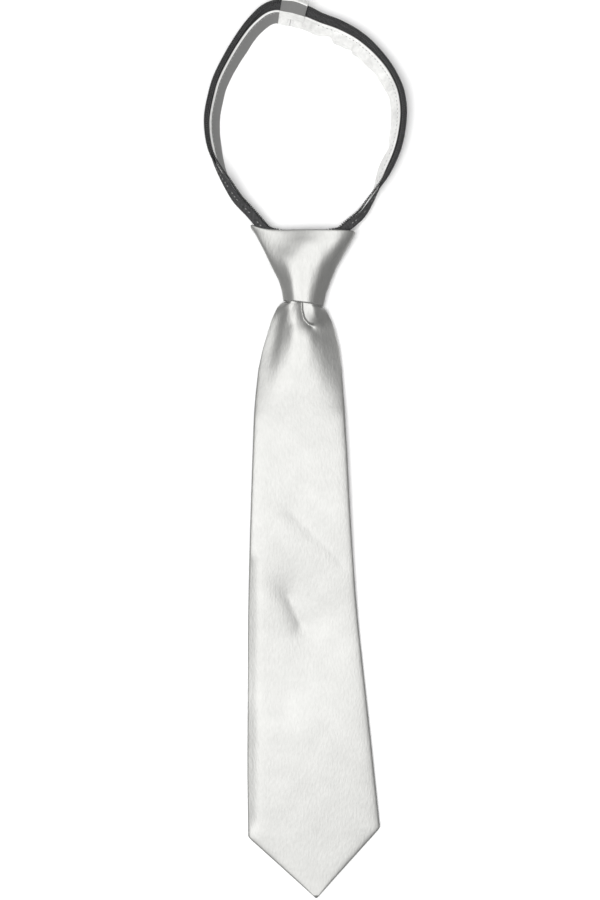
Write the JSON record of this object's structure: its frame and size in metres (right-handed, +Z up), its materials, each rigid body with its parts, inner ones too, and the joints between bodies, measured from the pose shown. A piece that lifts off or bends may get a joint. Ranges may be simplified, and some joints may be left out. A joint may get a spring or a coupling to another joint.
{
  "type": "zipper tie",
  "caption": "Ready-knotted satin zipper tie lying flat: neck loop with a zipper in it, hollow knot on a slider, gathered blade with a pointed end.",
  "frame": {"origin": "centre of the bottom of the tie's bounding box, on the surface it lies on", "axes": "+Y from the blade's point to the back of the neck, +Z up out of the blade's front, +X to the right as seen from the front"},
  "size_m": [0.108, 0.4808, 0.0155],
  "materials": {
    "satin": "glossy satin weave, silver white",
    "band_satin": "satin weave, silver white",
    "zipper_tape": "woven tape, charcoal",
    "zipper_teeth": "nylon coil, charcoal",
    "slider_metal": "painted die casting"
  },
  "bodies": {
    "root": {"knot": "satin", "blade": "satin", "back_join": "satin", "neck_band_left": "band_satin", "neck_band_right": "band_satin", "tail_tab": "band_satin", "zipper_tape_left": "zipper_tape", "zipper_tape_right": "zipper_tape", "zipper_coil_left": "zipper_teeth", "zipper_coil_right": "zipper_teeth", "zip_slider": "slider_metal"}
  },
  "joints": []
}
